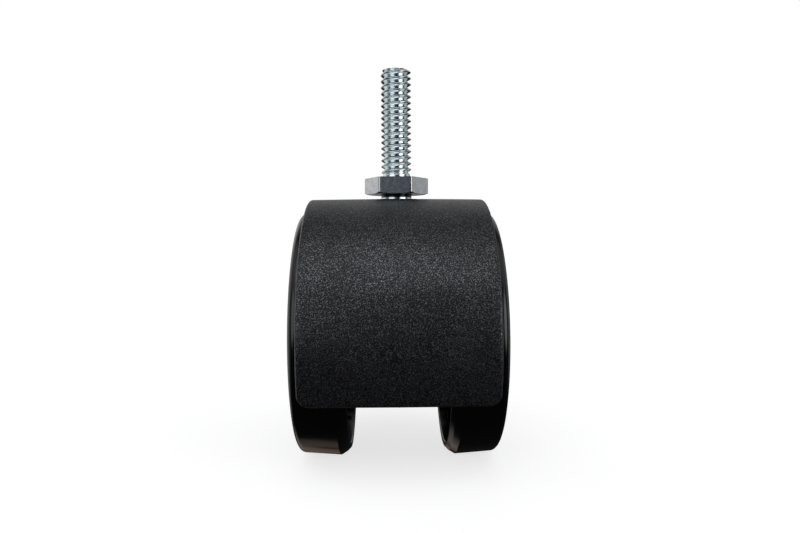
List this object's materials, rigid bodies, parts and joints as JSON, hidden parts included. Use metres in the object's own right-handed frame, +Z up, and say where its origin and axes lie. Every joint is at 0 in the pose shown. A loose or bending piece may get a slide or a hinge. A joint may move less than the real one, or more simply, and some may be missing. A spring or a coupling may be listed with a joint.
{
  "type": "twin-wheel hooded swivel caster",
  "caption": "Hooded twin-wheel swivel caster on a threaded stem with a hexagonal collar, for chairs and small furniture.",
  "frame": {"origin": "on the stem's axis, level with the top face of the hex collar, where the furniture seats", "axes": "+Z up along the stem, +X along the wheel axle, -Y towards the hood's long skirt"},
  "size_m": [0.0392, 0.0523, 0.0795],
  "materials": {
    "zinc_plate": "bright bluish zinc plate",
    "collar_steel": "smooth grey steel",
    "plain_steel": "turned bare steel",
    "spring_steel": "oiled spring steel",
    "nylon": "natural nylon",
    "hood_plastic": "finely grained satin nylon, charcoal black",
    "wheel_plastic": "smooth glossy black nylon"
  },
  "bodies": {
    "stem": {"threaded_stem": "zinc_plate", "hex_collar": "collar_steel", "stem_snap_ring": "spring_steel"},
    "hood": {"hood_body": "hood_plastic", "stem_bush": "plain_steel", "stem_thrust_disc": "nylon", "axle_pin": "plain_steel", "axle_washer_left": "plain_steel", "axle_washer_right": "plain_steel", "axle_retainer_left": "spring_steel", "axle_retainer_right": "spring_steel"},
    "left_wheel": {"wheel_left": "wheel_plastic", "wheel_cover_left": "wheel_plastic"},
    "right_wheel": {"wheel_right": "wheel_plastic", "wheel_cover_right": "wheel_plastic"}
  },
  "joints": [
    {"name": "swivel", "type": "hinge", "parent": "stem", "child": "hood", "pos_m": [0, 0, 0], "axis": [0, 0, 1], "continuous": true},
    {"name": "left_wheel_spin", "type": "hinge", "parent": "hood", "child": "left_wheel", "pos_m": [0, -0.003, -0.03185], "axis": [1, 0, 0], "continuous": true},
    {"name": "right_wheel_spin", "type": "hinge", "parent": "hood", "child": "right_wheel", "pos_m": [0, -0.003, -0.03185], "axis": [1, 0, 0], "continuous": true}
  ]
}
